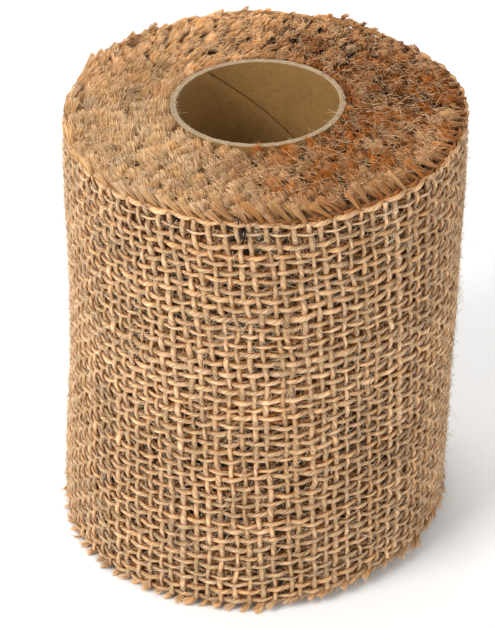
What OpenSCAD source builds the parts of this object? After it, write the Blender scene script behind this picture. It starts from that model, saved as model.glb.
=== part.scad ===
// A roll of open-weave jute ribbon, wound flat on a spiral-wound cardboard core.
// The ribbon is cut across both long sides, so its weft yarns end in a short fringe
// at the top and at the bottom of the roll. The roll stands on its bottom fringe and core.
// The winding is a two-centre spiral: each half turn is a true arc, and its centre
// changes side at every half turn. Angles along the ribbon are counted without a break,
// from 0 where the ribbon starts at the core to many turns later at its free end.

/* [Core] */
// Bore of the cardboard core
core_bore_d = 38; // [25:1:60]
// Thickness of one paper ply
ply_t = 0.45; // [0.3:0.05:0.8]
// Length of the core, from the floor to its upper rim
core_len = 113; // [60:1:180]
// Thickness of the adhesive strip that holds the first turn
strip_t = 0.2; // [0.1:0.05:0.4]
// Angle that the adhesive strip covers
strip_arc = 25; // [10:1:60]

/* [Ribbon] */
// Height of the lowest warp yarn above the floor
band_base = 4; // [3:0.5:8]
// Height from the lowest warp yarn to the highest
band_h = 106; // [40:1:170]
// Full turns before the outer turn begins
full_turns = 22; // [3:1:30]
// Radial thickness that one wound turn takes up
turn_pitch = 1.15; // [0.8:0.05:2]
// Air between one turn and the next
turn_gap = 0.1; // [0.05:0.01:0.3]

/* [Yarns] */
// Warp yarns, which run round the roll
warp_count = 43; // [5:1:60]
// Diameter of a warp yarn
warp_d = 0.95; // [0.4:0.05:1.5]
// Diameter of a weft yarn, which runs up the roll
weft_d = 0.9; // [0.4:0.05:1.5]
// Angle from one weft yarn to the next
weft_step = 3.75; // [2.5:0.25:10]
// Clearance between the warp and weft yarns
yarn_gap = 0.03; // [0.02:0.01:0.1]

/* [Fringe] */
// Height of the cut yarn ends above the top warp yarn
top_fringe_h = 4.5; // [2:0.5:8]
// Radius of the worn shoulder round the edges of the fringe
fringe_shoulder = 1.8; // [0.5:0.1:2]

/* [Free end] */
// Angle at which the free end leaves the roll, measured from the right-hand side
lift_angle = 70; // [30:1:110]
// Angle that the free end covers, up to its last weft yarn
flap_arc = 50; // [20:1:60]
// Angle that the loose warp ends cover past the last weft yarn
fray_arc = 5; // [2:1:8]
// Extra clearance below the free end
flap_gap = 0.2; // [0.15:0.05:0.6]
// Angle left open at each side of the line where the free end folds
fold_gap = 0.35; // [0.2:0.05:1]

/* [Hidden] */

$fn = 96;
half_turn = 180;
full_turn = 360;
core_r = core_bore_d / 2 + 3 * ply_t;
turn_t = turn_pitch - turn_gap;
centre_shift = turn_pitch / 4;
first_r = core_r + strip_t + centre_shift;

// Places along the ribbon, as unbroken angles
end_margin_arc = 1;
lift_line = (full_turns + 1) * full_turn + lift_angle;
last_weft = lift_line + flap_arc;
outer_start = last_weft + fray_arc + end_margin_arc - full_turn;

// Radial places across one woven turn, counted from the inside of that turn
weft_r = yarn_gap + weft_d / 2;
warp_r = 2 * yarn_gap + weft_d + warp_d / 2;

band_low = band_base - warp_d / 2;
band_top = band_base + band_h + warp_d / 2;
top_z = band_base + band_h + top_fringe_h;
fringe_clearance = 0.05;
fringe_in = first_r - centre_shift + fringe_clearance;
fringe_out = turn_r(2 * full_turns) - centre_shift;
yarn_end = 0.5;
strip_margin = 4;
warp_sides = 8;
shoulder_step = 15;
shoulder_last = 90 - shoulder_step;
cut_over = 1;

card = [0.66, 0.52, 0.36];
card_pale = [0.74, 0.64, 0.52];
jute = [0.80, 0.64, 0.44];
jute_pale = [0.87, 0.73, 0.53];
adhesive = [0.90, 0.88, 0.80];

// Inner radius of half turn number k, and the x of its centre
function turn_r(k) = first_r + k * turn_pitch / 2;
function turn_x(k) = (k % 2 == 0) ? -centre_shift : centre_shift;

// Sweeps a profile of (distance out from the turn's inner face, height) along the ribbon
module along_ribbon(from, to) {
    for (k = [floor(from / half_turn) : ceil(to / half_turn) - 1]) {
        a = max(from, k * half_turn);
        b = min(to, (k + 1) * half_turn);
        translate([turn_x(k), 0, 0])
            rotate([0, 0, a % full_turn])
                rotate_extrude(angle = b - a)
                    translate([turn_r(k), 0]) children();
    }
}

// Stands a child on the ribbon at one angle, at a distance out from the turn's inner face
module at_ribbon(angle, out) {
    k = floor(angle / half_turn);
    translate([turn_x(k), 0, 0])
        rotate([0, 0, angle % full_turn])
            translate([turn_r(k) + out, 0, 0]) children();
}

// All warp yarns of one stretch of ribbon, each a string of true arcs with eight flats
module warp_yarns(from, to, lift) {
    for (i = [0 : warp_count - 1])
        along_ribbon(from, to)
            translate([lift + warp_r, band_base + i * band_h / (warp_count - 1)])
                circle(d = warp_d, $fn = warp_sides);
}

// All weft yarns of one stretch of ribbon, spaced evenly and clear of its two ends
module weft_yarns(from, to, lift) {
    count = floor((to - from) / weft_step);
    margin = (to - from - count * weft_step) / 2;
    for (i = [0 : count - 1])
        at_ribbon(from + margin + (i + 0.5) * weft_step, lift + weft_r)
            translate([0, 0, yarn_end])
                cylinder(d = weft_d, h = top_z - 2 * yarn_end);
}

// One paper ply of the core, counted from the bore
module core_ply(index) {
    inner = core_bore_d / 2 + index * ply_t;
    difference() {
        cylinder(r = inner + ply_t, h = core_len);
        translate([0, 0, -cut_over]) cylinder(r = inner, h = core_len + 2 * cut_over);
    }
}

module core_inner_ply() {
    color(card) core_ply(0);
}

module core_middle_ply() {
    color(card_pale) core_ply(1);
}

module core_outer_ply() {
    color(card) core_ply(2);
}

module starting_adhesive_strip() {
    color(adhesive)
        rotate_extrude(angle = strip_arc)
            translate([core_r, band_low + strip_margin])
                square([strip_t, band_top - band_low - 2 * strip_margin]);
}

module ribbon_inner_turns() {
    color(jute)
        along_ribbon(0, outer_start - fold_gap)
            translate([0, band_low]) square([turn_t, band_top - band_low]);
}

// Distance in from the side of a fringe ring, and down from its top, at one angle of the shoulder
function shoulder_in(a) = fringe_shoulder * (1 - cos(a));
function shoulder_down(a) = fringe_shoulder * (1 - sin(a));

// Cut weft ends of the inner turns: one soft ring with worn shoulders, seen in section
module fringe_ring(low, high) {
    ring_h = high - low;
    rotate_extrude()
        polygon([
            [fringe_in, 0],
            [fringe_out, 0],
            [fringe_out, ring_h - fringe_shoulder],
            for (a = [shoulder_step : shoulder_step : shoulder_last])
                [fringe_out - shoulder_in(a), ring_h - shoulder_down(a)],
            [fringe_out - fringe_shoulder, ring_h],
            [fringe_in + fringe_shoulder, ring_h],
            for (a = [shoulder_last : -shoulder_step : shoulder_step])
                [fringe_in + shoulder_in(a), ring_h - shoulder_down(a)],
            [fringe_in, ring_h - fringe_shoulder]
        ]);
}

module inner_turns_top_fringe() {
    color(jute_pale) translate([0, 0, band_top]) fringe_ring(band_top, top_z);
}

module inner_turns_bottom_fringe() {
    color(jute_pale) translate([0, 0, band_low]) mirror([0, 0, 1]) fringe_ring(0, band_low);
}

module outer_turn_warp_yarns() {
    color(jute) warp_yarns(outer_start, lift_line - fold_gap, 0);
}

module outer_turn_weft_yarns() {
    color(jute_pale) weft_yarns(outer_start, lift_line - fold_gap, 0);
}

module free_end_warp_yarns() {
    color(jute) warp_yarns(lift_line + fold_gap, last_weft + fray_arc, flap_gap);
}

module free_end_weft_yarns() {
    color(jute_pale) weft_yarns(lift_line + fold_gap, last_weft, flap_gap);
}

core_inner_ply();
core_middle_ply();
core_outer_ply();
starting_adhesive_strip();
ribbon_inner_turns();
inner_turns_top_fringe();
inner_turns_bottom_fringe();
outer_turn_warp_yarns();
outer_turn_weft_yarns();
free_end_warp_yarns();
free_end_weft_yarns();
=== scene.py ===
"""Looks of the ribbon spool: a roll of open-weave jute ribbon with frayed cut edges, on a cardboard core.

Everything is in metres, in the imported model's own frame: +Z is the core's axis, and -Y faces the camera.
A place along the ribbon is one unbroken angle in radians: 0 at the core, many turns later at the free end.
"""

import math

import bpy
import numpy as np
from mathutils import Matrix, Vector


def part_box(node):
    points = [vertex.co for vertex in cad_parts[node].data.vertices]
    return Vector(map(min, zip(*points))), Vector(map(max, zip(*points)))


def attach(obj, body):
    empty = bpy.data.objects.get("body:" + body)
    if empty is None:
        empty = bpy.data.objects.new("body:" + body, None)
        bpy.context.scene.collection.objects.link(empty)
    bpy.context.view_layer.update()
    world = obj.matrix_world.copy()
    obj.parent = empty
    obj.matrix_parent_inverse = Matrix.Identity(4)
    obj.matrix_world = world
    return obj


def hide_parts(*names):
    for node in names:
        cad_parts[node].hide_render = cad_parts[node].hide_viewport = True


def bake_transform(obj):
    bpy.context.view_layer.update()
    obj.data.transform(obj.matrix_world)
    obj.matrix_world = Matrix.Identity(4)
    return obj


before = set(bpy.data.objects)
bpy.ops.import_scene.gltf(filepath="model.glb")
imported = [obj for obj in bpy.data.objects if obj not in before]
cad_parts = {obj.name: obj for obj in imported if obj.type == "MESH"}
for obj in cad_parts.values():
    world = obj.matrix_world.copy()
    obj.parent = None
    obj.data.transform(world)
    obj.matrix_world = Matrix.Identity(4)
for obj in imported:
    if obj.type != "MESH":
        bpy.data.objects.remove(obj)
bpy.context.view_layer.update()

MM = 0.001
TURN = 2 * math.pi

# ---------------------------------------------------------------- sizes taken from the frame
_, core_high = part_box("core_outer_ply")
strip_low, strip_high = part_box("ribbon_inner_turns")

PLY_T = 0.45 * MM
WARP_HALF_D = 0.475 * MM
CORE_R = core_high[0]
CORE_TOP = core_high[2]
BORE_R = CORE_R - 3 * PLY_T
BAND_LOW = strip_low[2] + WARP_HALF_D
BAND_HIGH = strip_high[2] - WARP_HALF_D

# ---------------------------------------------------------------- ribbon
TURN_PITCH = 1.15 * MM
STRIP_T = 0.2 * MM
RIBBON_START_R = CORE_R + STRIP_T
# Mean radius of the woven turns, which turns lengths round the roll into angles
ROLL_R = 48 * MM
WARPS = 43
WARP_PITCH = (BAND_HIGH - BAND_LOW) / (WARPS - 1)
WEFT_STEP = math.radians(3.75)
WEFT_SPACING = 3.1 * MM
FULL_TURNS = 23
LIFT_ANGLE = 70
FLAP_ARC = 50
LIFT_LINE = math.radians(FULL_TURNS * 360 + LIFT_ANGLE)
FREE_END = math.radians(FULL_TURNS * 360 + LIFT_ANGLE + FLAP_ARC)
FOLD_BEFORE = math.radians(4.0)
FOLD_AFTER = math.radians(4.0)
WOVEN_TURNS = 2
WOVEN_START = FREE_END - WOVEN_TURNS * TURN

# How far the soft roll has settled out of its straight shape
SLUMP = 5.2 * MM
WAIST = 1.2 * MM
RIGHT_DRAW = 1.2 * MM
FOOT_TILT = 0.8 * MM
FRONT_SAG = 1.25 * MM
FOOT_LIFT = 2.0 * MM
FOOT_LIFT_ANGLE = math.radians(-50)
DENT = 1.5 * MM
DENT_ANGLE = math.radians(36)
WEFT_LEAN = 3.8 * MM
SIDE_PUSH = 0.45 * MM
UP_PUSH = 0.40 * MM
OUT_PUSH = 0.25 * MM
FREE_END_OFF = 0.5 * MM

# Half thicknesses of the yarns, and where the weave runs in its turn
YARN_OUT = 0.38 * MM
YARN_CRIMP = 0.36 * MM
WEFT_HALF_W = 0.61 * MM
WARP_HALF_W = 0.59 * MM
WEAVE_MID = 0.95 * MM
# Painted shade: how much darker a yarn's flanks are painted than its outer face
YARN_FLANK_SHADE = 0.50

UP = np.array([0.0, 0.0, 1.0])
# Nothing hangs lower than this above the floor
FLOOR_CLEAR = 0.15 * MM


def turn_radius(u):
    """Inner radius of the ribbon at angle u."""
    return RIBBON_START_R + TURN_PITCH * u / TURN


# ---------------------------------------------------------------- smooth variation
def wave_lengths(rng, shape, longest, shortest):
    """Random wavelengths between two, spread evenly on a log scale."""
    return np.exp(rng.uniform(math.log(shortest), math.log(longest), shape))


def sum_waves(phase):
    """Sine waves added over the last axis, scaled to about -1 to 1."""
    return np.sin(phase).sum(-1) * (math.sqrt(2.0 / phase.shape[-1]) * 0.7)


def wobble(seed, waves, longest, shortest):
    """A smooth random function of one number, made of a few sine waves."""
    rng = np.random.default_rng(seed)
    lengths = wave_lengths(rng, waves, longest, shortest)
    phases = rng.uniform(0, TURN, waves)

    def value(x):
        return sum_waves(TURN * np.asarray(x, float)[..., None] / lengths + phases)

    return value


def wobble_2d(seed, waves, longest, shortest):
    """The same, as a function of two numbers."""
    rng = np.random.default_rng(seed)
    lengths = wave_lengths(rng, waves, longest, shortest)
    turns = rng.uniform(0, TURN, waves)
    phases = rng.uniform(0, TURN, waves)

    def value(x, y):
        x = np.asarray(x, float)[..., None]
        y = np.asarray(y, float)[..., None]
        return sum_waves(TURN * (x * np.cos(turns) + y * np.sin(turns)) / lengths + phases)

    return value


def many_wobbles(seed, rows, waves, longest, shortest):
    """One wobble for each row: value(x) takes x of shape (rows, n)."""
    rng = np.random.default_rng(seed)
    lengths = wave_lengths(rng, (rows, 1, waves), longest, shortest)
    phases = rng.uniform(0, TURN, (rows, 1, waves))

    def value(x, keep=slice(None)):
        return sum_waves(TURN * np.asarray(x, float)[..., None] / lengths[keep] + phases[keep])

    return value


def polar(r, u, z):
    """Points at radius r, angle u and height z."""
    return np.stack([r * np.cos(u), r * np.sin(u), z], -1)


def band_share(z):
    """Height in the woven band: 0 at its lowest warp, 1 at its highest."""
    return (z - BAND_LOW) / (BAND_HIGH - BAND_LOW)


# The whole cloth is pushed about a little, sideways, up and out
cloth_side = wobble_2d(11, 7, 60 * MM, 14 * MM)
cloth_up = wobble_2d(12, 7, 70 * MM, 14 * MM)
cloth_out = wobble_2d(13, 6, 90 * MM, 30 * MM)


def cloth_point(u, z, out):
    """A point of the cloth: at angle u and height z, out from the inner face of its turn."""
    along = u * ROLL_R
    loose = np.clip((u - WOVEN_START) / (2 * TURN), 0.2, 1)
    u = u + (cloth_side(along, z) * SIDE_PUSH * loose + lean(z)) / ROLL_R
    height = z + cloth_up(along, z) * UP_PUSH * loose + sag(u, z)
    r = turn_radius(u) + out + cloth_out(along, z) * OUT_PUSH * loose + lift_off(u) + slump(u, z)
    return polar(r, u, height)


def lean(z):
    """How far the weft yarns lean clockwise at height z, as they are pulled over towards the top."""
    return -WEFT_LEAN * np.clip(band_share(z), 0, 1) ** 3


def slump(u, z):
    """The soft roll leans right at its top, is drawn in half way up and at the right, and has one dent."""
    share = band_share(z)
    side = 1 - np.clip(2 * np.sin(u) - 0.6, 0, 1)
    right = np.clip(np.cos(u), 0, 1)
    waist = WAIST * (1 - 0.8 * right) * np.sin(math.pi * np.clip(share, 0, 1)) ** 2
    draw = RIGHT_DRAW * right * (0.9 + 0.8 * np.clip(share, 0, 1) ** 3)
    dent = DENT * share * bulge(u, DENT_ANGLE, math.radians(16))
    return side * (SLUMP * (share - 0.5) * np.cos(u) - waist - draw) - dent


def bulge(u, middle, width):
    """1 at one angle round the roll, falling smoothly to 0 away from it."""
    off = np.arctan2(np.sin(u - middle), np.cos(u - middle))
    return np.exp(-(off / width) ** 2)


def sag(u, z):
    """The outer turns sit a little lower at the front, and their foot is higher on the right."""
    share = band_share(z)
    foot = FOOT_TILT * np.cos(u) + FOOT_LIFT * bulge(u, FOOT_LIFT_ANGLE, math.radians(34))
    return foot * (1 - share) - FRONT_SAG * np.clip(-np.sin(u), 0, 1)


def sheared(r, u, z):
    """Radii of inner turns, pushed over with the roll: not at all at the core, fully at the outside."""
    return r + slump(u, z) * np.clip((r - CORE_R) / (turn_radius(WOVEN_START) - CORE_R), 0, 1)


def lift_off(u):
    """The free end stands a little off the roll, more towards its last yarn."""
    share = np.clip((u - LIFT_LINE) / (FREE_END - LIFT_LINE), 0, 1.3)
    return FREE_END_OFF * share * share * (3 - 2 * np.minimum(share, 1))


# ---------------------------------------------------------------- mesh building
def new_mesh(name, material, points, faces, tint=None, fibre=None):
    """A mesh object from arrays. faces is a list of (n, k) arrays; tint and fibre are one row per point."""
    mesh = bpy.data.meshes.new(name)
    mesh.materials.append(material)
    counts = np.concatenate([np.full(len(f), f.shape[1], np.int32) for f in faces])
    corners = np.concatenate([f.reshape(-1) for f in faces]).astype(np.int32)
    starts = np.concatenate([[0], np.cumsum(counts)[:-1]]).astype(np.int32)
    mesh.vertices.add(len(points))
    mesh.vertices.foreach_set("co", points.astype(np.float32).reshape(-1))
    mesh.loops.add(len(corners))
    mesh.loops.foreach_set("vertex_index", corners)
    mesh.polygons.add(len(counts))
    mesh.polygons.foreach_set("loop_start", starts)
    mesh.update(calc_edges=True)
    mesh.validate()
    mesh.polygons.foreach_set("use_smooth", np.ones(len(mesh.polygons), bool))
    if tint is not None:
        layer = mesh.attributes.new("tint", "FLOAT_COLOR", "POINT")
        rgba = np.concatenate([tint, np.ones((len(tint), 1))], 1)
        layer.data.foreach_set("color", rgba.astype(np.float32).reshape(-1))
    if fibre is not None:
        layer = mesh.attributes.new("fibre", "FLOAT_VECTOR", "POINT")
        layer.data.foreach_set("vector", fibre.astype(np.float32).reshape(-1))
    obj = bpy.data.objects.new(name, mesh)
    bpy.context.scene.collection.objects.link(obj)
    return obj


def ring_quads(index):
    """Quads between the rows of a grid of point numbers whose last column meets its first."""
    nxt = np.roll(index, -1, 1)
    return np.stack([index[:-1], index[1:], nxt[1:], nxt[:-1]], -1).reshape(-1, 4)


def unit(v):
    """Vectors scaled to length 1."""
    return v / np.maximum(np.linalg.norm(v, axis=-1, keepdims=True), 1e-12)


def tubes(name, material, centre, out, half_out, half_side, sides, tint, twist=1.2, flank_shade=0.0):
    """Closed tubes along many centre lines at once.

    centre is (lines, points, 3). out is the direction in which each tube is half_out thick; it is
    half_side thick across that. tint is (lines, points or 1, 3). twist is the turns of the fibres per mm.
    The last argument is painted shade: how much darker and browner the tube's flanks are painted than its
    outer face.
    """
    lines, count = centre.shape[:2]
    run = unit(np.gradient(centre, axis=1))
    side = unit(np.cross(run, np.broadcast_to(out, centre.shape)))
    up = unit(np.cross(side, run))
    angle = np.arange(sides) * TURN / sides
    a = np.broadcast_to(half_out, (lines, count))[..., None, None]
    b = np.broadcast_to(half_side, (lines, count))[..., None, None]
    ring = a * np.cos(angle)[:, None] * up[:, :, None] + b * np.sin(angle)[:, None] * side[:, :, None]
    points = (centre[:, :, None] + ring).reshape(-1, 3)

    base = np.arange(lines * count).reshape(lines, count, 1) * sides
    k = np.arange(sides)
    here, there = base[:, :-1], base[:, 1:]
    quads = np.stack([here + k, here + (k + 1) % sides, there + (k + 1) % sides, there + k], -1)
    first = base[:, 0] + k[::-1]
    last = base[:, -1] + k
    faces = [quads.reshape(-1, 4), first.reshape(-1, sides), last.reshape(-1, sides)]

    steps = np.linalg.norm(np.diff(centre, axis=1), axis=-1)
    length = np.concatenate([np.zeros((lines, 1)), np.cumsum(steps, 1)], 1) / MM
    start = (np.arange(lines) * 37.31 % 100)[:, None]
    wound = angle + twist * length[..., None]
    along = np.broadcast_to((length + start)[..., None], wound.shape)
    fibre = np.stack([np.cos(wound), np.sin(wound), along * 0.22], -1).reshape(-1, 3)
    # Painted shade on the flanks, darker and browner than the outer face
    flank = 1 - flank_shade * (np.sin(angle) ** 2)[:, None] * np.array([0.6, 1.0, 1.35])
    colour = np.broadcast_to(tint[:, :, None] * flank, (lines, count, sides, 3)).reshape(-1, 3)
    return new_mesh(name, material, points, faces, colour, fibre)


# ---------------------------------------------------------------- materials
class Paint:
    """A new material, with short ways to add and link its nodes."""

    def __init__(self, name):
        self.material = bpy.data.materials.new(name)
        self.material.use_nodes = True
        self.nodes = self.material.node_tree.nodes
        self.links = self.material.node_tree.links
        self.shader = self.nodes["Principled BSDF"]

    def place(self):
        """The place on the object, in metres."""
        return self.nodes.new("ShaderNodeTexCoord").outputs["Object"]

    def attribute(self, name, output):
        """A value stored on the mesh's points."""
        node = self.nodes.new("ShaderNodeAttribute")
        node.attribute_name = name
        return node.outputs[output]

    def ground(self, *rgb):
        """One plain colour."""
        node = self.nodes.new("ShaderNodeRGB")
        node.outputs[0].default_value = (*rgb, 1)
        return node.outputs[0]

    def noise(self, coordinate, scale, detail, roughness=0.6):
        """A noise texture read at a coordinate."""
        texture = self.nodes.new("ShaderNodeTexNoise")
        texture.inputs["Scale"].default_value = scale
        texture.inputs["Detail"].default_value = detail
        texture.inputs["Roughness"].default_value = roughness
        self.links.new(coordinate, texture.inputs["Vector"])
        return texture.outputs["Fac"]

    def spread(self, value, low, high, to_low, to_high):
        """Maps a range of a value to another range."""
        ranged = self.nodes.new("ShaderNodeMapRange")
        ranged.inputs["From Min"].default_value = low
        ranged.inputs["From Max"].default_value = high
        ranged.inputs["To Min"].default_value = to_low
        ranged.inputs["To Max"].default_value = to_high
        self.links.new(value, ranged.inputs["Value"])
        return ranged.outputs["Result"]

    def combine(self, kind, a, b):
        """One arithmetic step on two sockets, or on a socket and a number."""
        step = self.nodes.new("ShaderNodeMath")
        step.operation = kind
        self.links.new(a, step.inputs[0])
        if isinstance(b, (int, float)):
            step.inputs[1].default_value = b
        else:
            self.links.new(b, step.inputs[1])
        return step.outputs[0]

    def colour(self, tint, strength, *more):
        """Base colour: a tint multiplied by one or more numbers."""
        for factor in more:
            strength = self.combine("MULTIPLY", strength, factor)
        scaled = self.nodes.new("ShaderNodeVectorMath")
        scaled.operation = "SCALE"
        self.links.new(tint, scaled.inputs[0])
        self.links.new(strength, scaled.inputs["Scale"])
        self.links.new(scaled.outputs[0], self.shader.inputs["Base Color"])

    def roughness(self, value, to_low, to_high):
        """Roughness that follows a noise."""
        self.links.new(self.spread(value, 0.3, 0.7, to_low, to_high), self.shader.inputs["Roughness"])

    def constant(self, socket, number):
        """A number that is the same all over the surface."""
        self.shader.inputs[socket].default_value = number

    def bump(self, height, distance, strength=1.0):
        """Fine relief from a height."""
        bump = self.nodes.new("ShaderNodeBump")
        bump.inputs["Strength"].default_value = strength
        bump.inputs["Distance"].default_value = distance
        self.links.new(height, bump.inputs["Height"])
        self.links.new(bump.outputs["Normal"], self.shader.inputs["Normal"])


def jute_material(name, streak_contrast, bump_mm):
    """Jute: each yarn's own tint, streaked along its twisted fibres."""
    paint = Paint(name)
    fibre = paint.attribute("fibre", "Vector")
    fine = paint.noise(fibre, 1.6, 4.0, 0.65)
    broad = paint.noise(fibre, 0.6, 2.0)
    patch = paint.noise(paint.place(), 90.0, 3.0)
    streak = paint.spread(fine, 0.37, 0.63, 1 - streak_contrast, 1 + streak_contrast * 0.6)
    slow = paint.spread(broad, 0.3, 0.7, 0.86, 1.12)
    wide = paint.spread(patch, 0.35, 0.65, 0.90, 1.10)
    paint.colour(paint.attribute("tint", "Color"), streak, slow, wide)
    paint.constant("Sheen Weight", 0.05)
    paint.constant("Sheen Roughness", 0.5)
    paint.constant("Specular IOR Level", 0.12)
    paint.roughness(fine, 0.95, 0.72)
    paint.bump(fine, bump_mm * MM, 0.8)
    return paint.material


def card_material(name, fleck, strength):
    """Recycled paper board: short fibres pressed into a soft ground of the mesh's own tint."""
    paint = Paint(name)
    place = paint.place()
    flecks = paint.noise(place, 1100.0, 3.0, 0.7)
    clouds = paint.noise(place, 160.0, 4.0)
    pulp = paint.noise(place, 5200.0, 2.0)
    speck = paint.spread(flecks, 0.30, 0.46, fleck, 1.0)
    cloud = paint.spread(clouds, 0.3, 0.7, 0.90, 1.08)
    grain = paint.spread(pulp, 0.3, 0.7, 0.93, 1.06)
    paint.colour(paint.attribute("tint", "Color"), speck, cloud, grain)
    paint.roughness(clouds, 0.72, 0.88)
    paint.constant("Specular IOR Level", 0.3)
    paint.bump(pulp, 0.06 * MM, strength)
    return paint.material


def adhesive_material():
    """Cloudy adhesive with small bubbles."""
    paint = Paint("adhesive")
    bubbles = paint.noise(paint.place(), 900.0, 2.0)
    paint.colour(paint.ground(0.78, 0.74, 0.62), paint.spread(bubbles, 0.35, 0.65, 0.85, 1.05))
    paint.roughness(bubbles, 0.35, 0.6)
    return paint.material


def sheet_material():
    """Plain weave deep in the roll: light crossings on a dark ground of painted shade in the holes, from
    length and height in mm.
    """
    paint = Paint("jute_inner_weave")
    place = paint.attribute("fibre", "Vector")
    parts = paint.nodes.new("ShaderNodeSeparateXYZ")
    paint.links.new(place, parts.inputs[0])

    def bars(socket, pitch):
        wave = paint.combine("SINE", paint.combine("MULTIPLY", socket, TURN / pitch), 0.0)
        return paint.spread(wave, -0.3, 0.6, 0.0, 1.0)

    weft = bars(parts.outputs[0], WEFT_SPACING / MM)
    warp = bars(parts.outputs[1], WARP_PITCH / MM)
    yarn = paint.combine("MAXIMUM", weft, warp)
    rough = paint.noise(place, 2.4, 4.0)
    # Painted shade: the ground between the crossings is painted down to about a fifth
    crossings = paint.spread(yarn, 0, 1, 0.22, 1.0)
    paint.colour(paint.attribute("tint", "Color"), crossings, paint.spread(rough, 0.3, 0.7, 0.7, 1.15))
    paint.roughness(rough, 0.95, 0.8)
    paint.bump(yarn, 0.4 * MM)
    return paint.material


def dark_fibre_material():
    """Almost black plant fibre."""
    paint = Paint("dark_fibre")
    uneven = paint.noise(paint.place(), 3000.0, 2.0)
    paint.colour(paint.ground(0.024, 0.018, 0.016), paint.spread(uneven, 0.3, 0.7, 0.6, 1.5))
    paint.constant("Roughness", 0.9)
    paint.constant("Specular IOR Level", 0.1)
    return paint.material


def floor_material():
    """Pale seamless paper."""
    paint = Paint("floor")
    grain = paint.noise(paint.place(), 40.0, 3.0)
    paint.colour(paint.ground(0.93, 0.93, 0.93), paint.spread(grain, 0.3, 0.7, 0.99, 1.0))
    paint.roughness(grain, 0.85, 0.95)
    return paint.material


yarn_material = jute_material("jute_yarn", 0.50, 0.20)
tuft_material = jute_material("jute_tuft", 0.22, 0.03)
hair_material = jute_material("jute_hair", 0.10, 0.01)
kraft_material = card_material("kraft_card", 0.70, 0.45)
pulp_material = card_material("grey_card", 0.75, 0.5)

# Linear colours that a yarn's own tint is mixed from
JUTE_PALE = np.array([0.80, 0.57, 0.36])
JUTE_TAN = np.array([0.65, 0.395, 0.19])
JUTE_GREY = np.array([0.50, 0.36, 0.22])
JUTE_GOLD = np.array([0.81, 0.455, 0.165])
# The next colour is rust-brown jute that also stands in for painted shade, on the fringe's right-hand side
# and close to the core
JUTE_RUST_AND_SHADE = np.array([0.37, 0.108, 0.010])
FIBRE_PALE = np.array([0.86, 0.70, 0.50])
KRAFT = np.array([0.275, 0.145, 0.042])
CUT_BOARD = np.array([0.36, 0.265, 0.165])


def yarn_tints(seed, count, pale=0.45, grey=0.2):
    """One tint for each yarn, between the pale, the tan and the grey."""
    rng = np.random.default_rng(seed)
    a = np.clip(rng.normal(pale, 0.22, (count, 1)), 0, 1)
    b = np.clip(rng.normal(grey, 0.2, (count, 1)), 0, 1)
    base = JUTE_TAN * (1 - a) + JUTE_PALE * a
    return (base * (1 - b) + JUTE_GREY * b) * rng.uniform(0.86, 1.1, (count, 1))


# ---------------------------------------------------------------- woven cloth
WEFTS = int(WOVEN_TURNS * TURN / WEFT_STEP)
weft_rng = np.random.default_rng(21)
weft_shift = weft_rng.normal(0, 0.11, WEFTS)
weft_width = np.clip(weft_rng.normal(1, 0.16, WEFTS), 0.62, 1.4)
weft_drift = many_wobbles(22, WEFTS, 8, 50, 3)
weft_slub = many_wobbles(23, WEFTS, 9, 24, 1.2)
weft_tint = yarn_tints(24, WEFTS, 0.5)
warp_rng = np.random.default_rng(31)
warp_shift = warp_rng.normal(0, 0.09, WARPS)
warp_width = np.clip(warp_rng.normal(1, 0.15, WARPS), 0.6, 1.35)
warp_drift = many_wobbles(32, WARPS, 12, 70, 3)
warp_slub = many_wobbles(33, WARPS, 12, 40, 1.2)
warp_tint = yarn_tints(34, WARPS, 0.45)
warp_shade = many_wobbles(35, WARPS, 6, 90, 12)
THIN_ROW = WARPS - 2
warp_width[THIN_ROW] = 0.55
warp_tint[THIN_ROW] = JUTE_PALE * 1.08


def dip_shade(wave):
    """Painted shade: yarns are painted darker and browner where they dip below the yarn they cross. wave is
    -1 at the dips.
    """
    return 1 - 0.5 * (1 - wave[..., None]) * np.array([0.20, 0.27, 0.34])


def depth_shade(u):
    """Painted shade: yarns below the outer turn are painted darker and browner, for the shade under it,
    except close to where the free end lifts off.
    """
    covered = np.clip((FREE_END - TURN + math.radians(8) - u) / math.radians(8), 0, 1)
    uncovered = np.clip((u - (FREE_END - TURN - math.radians(58))) / math.radians(10), 0, 1)
    dark = covered * (1 - 0.7 * uncovered)
    return 1 - dark[..., None] * np.array([0.44, 0.62, 0.78])


def weft_angle(j):
    """Angle of weft j, counted back from the free end, before its own drift."""
    return FREE_END - (j + 0.5) * WEFT_STEP


def weft_path(j, rows):
    """Centre line of the wefts j, at heights counted in warp rows, with their half widths and tints."""
    row = np.broadcast_to(rows, (len(j), rows.shape[-1]))
    drift = (weft_shift[j][:, None] + weft_drift(row, j) * 0.075) * WEFT_STEP
    u = weft_angle(j)[:, None] + drift
    height = np.broadcast_to(BAND_LOW + rows * WARP_PITCH, u.shape)
    wave = -np.cos(math.pi * (row + j[:, None]))
    centre = cloth_point(u, height, WEAVE_MID + YARN_CRIMP * wave)
    slub = 1 + 0.19 * weft_slub(row, j)
    width = weft_width[j][:, None] * slub
    tint = weft_tint[j][:, None] * (1 + 0.10 * weft_slub(row * 0.7 + 5, j))[..., None]
    return centre, width, tint * depth_shade(u) * dip_shade(wave)


def warp_path(i, steps):
    """Centre line of the warps i, at places counted in wefts back from the free end."""
    place = np.broadcast_to(steps, (len(i), steps.shape[-1]))
    u = FREE_END - (place + 0.5) * WEFT_STEP
    drift = (warp_shift[i][:, None] + warp_drift(place, i) * 0.12) * WARP_PITCH
    z = BAND_LOW + i[:, None] * WARP_PITCH + drift
    wave = np.cos(math.pi * (place + i[:, None]))
    centre = cloth_point(u, z, WEAVE_MID + YARN_CRIMP * wave)
    width = warp_width[i][:, None] * (1 + 0.18 * warp_slub(place, i))
    tint = warp_tint[i][:, None] * (1 + 0.10 * warp_shade(place, i))[..., None]
    return centre, width, tint * depth_shade(u) * dip_shade(wave)


def outward(centre):
    """Directions straight out from the core's axis."""
    return unit(centre * np.array([1, 1, 0]))


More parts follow.
